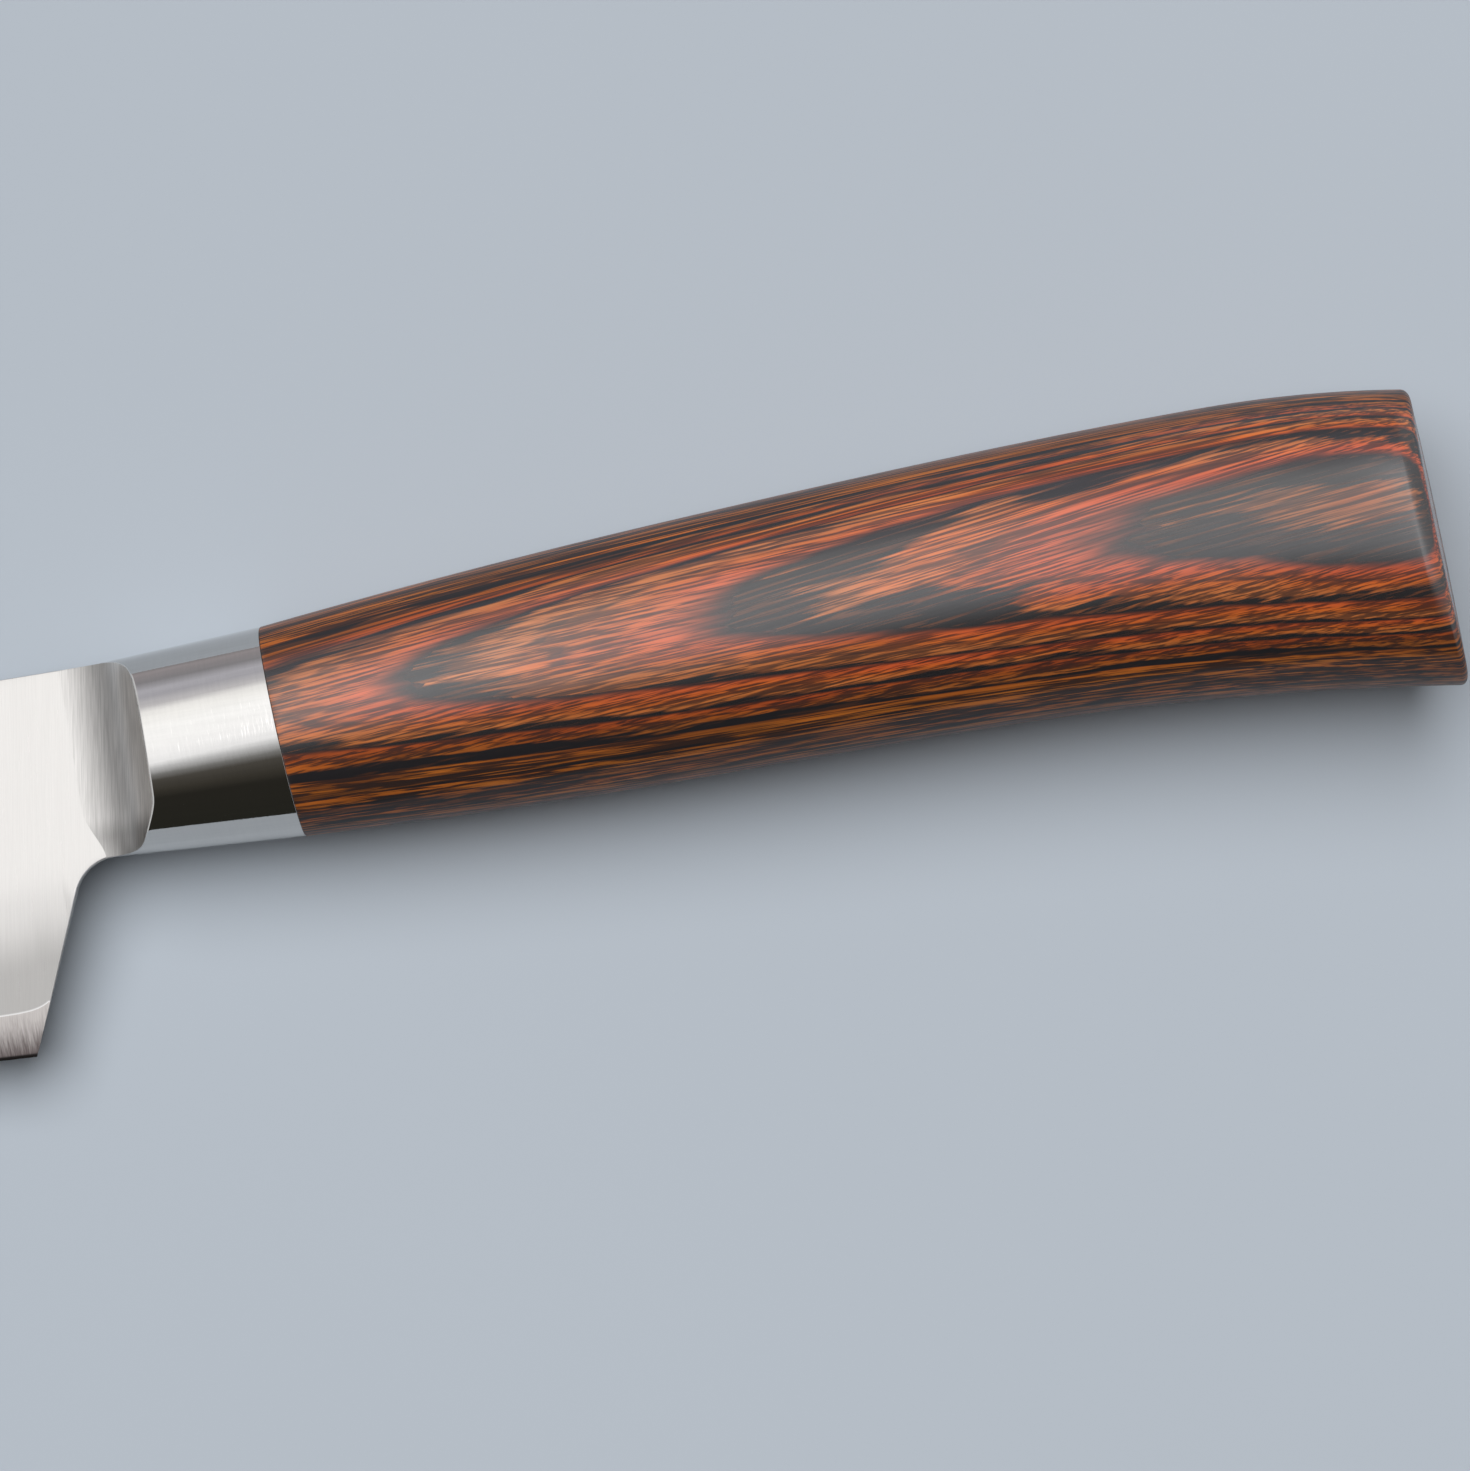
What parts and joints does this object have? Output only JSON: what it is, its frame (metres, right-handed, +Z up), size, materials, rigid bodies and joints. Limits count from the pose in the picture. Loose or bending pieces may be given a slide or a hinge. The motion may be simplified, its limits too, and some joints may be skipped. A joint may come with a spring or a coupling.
{
  "type": "petty knife",
  "caption": "Small kitchen knife with a brushed three-layer steel blade, polished oval bolster and laminated wood handle on a hidden tang.",
  "frame": {"origin": "middle of the underside of the knife lying on its right side", "axes": "+X from the tip to the butt, +Y from the edge to the spine, +Z up, square to the blade's flat"},
  "size_m": [0.2704, 0.0396, 0.0211],
  "materials": {
    "core_steel": "satin, ground across the blade",
    "clad_steel": "fine brushing from spine to edge",
    "bolster_steel": "polished, with a brushed hollow towards the blade",
    "weld_metal": "as welded",
    "tang_steel": "mill finish",
    "resin": "cured resin",
    "laminated_wood": "dyed veneers in orange, brown and near black, satin sealed"
  },
  "bodies": {
    "root": {"blade_core": "core_steel", "cladding_left": "clad_steel", "cladding_right": "clad_steel", "bolster": "bolster_steel", "tang_weld": "weld_metal", "tang_bar": "tang_steel", "tang_resin": "resin", "handle": "laminated_wood"}
  },
  "joints": []
}
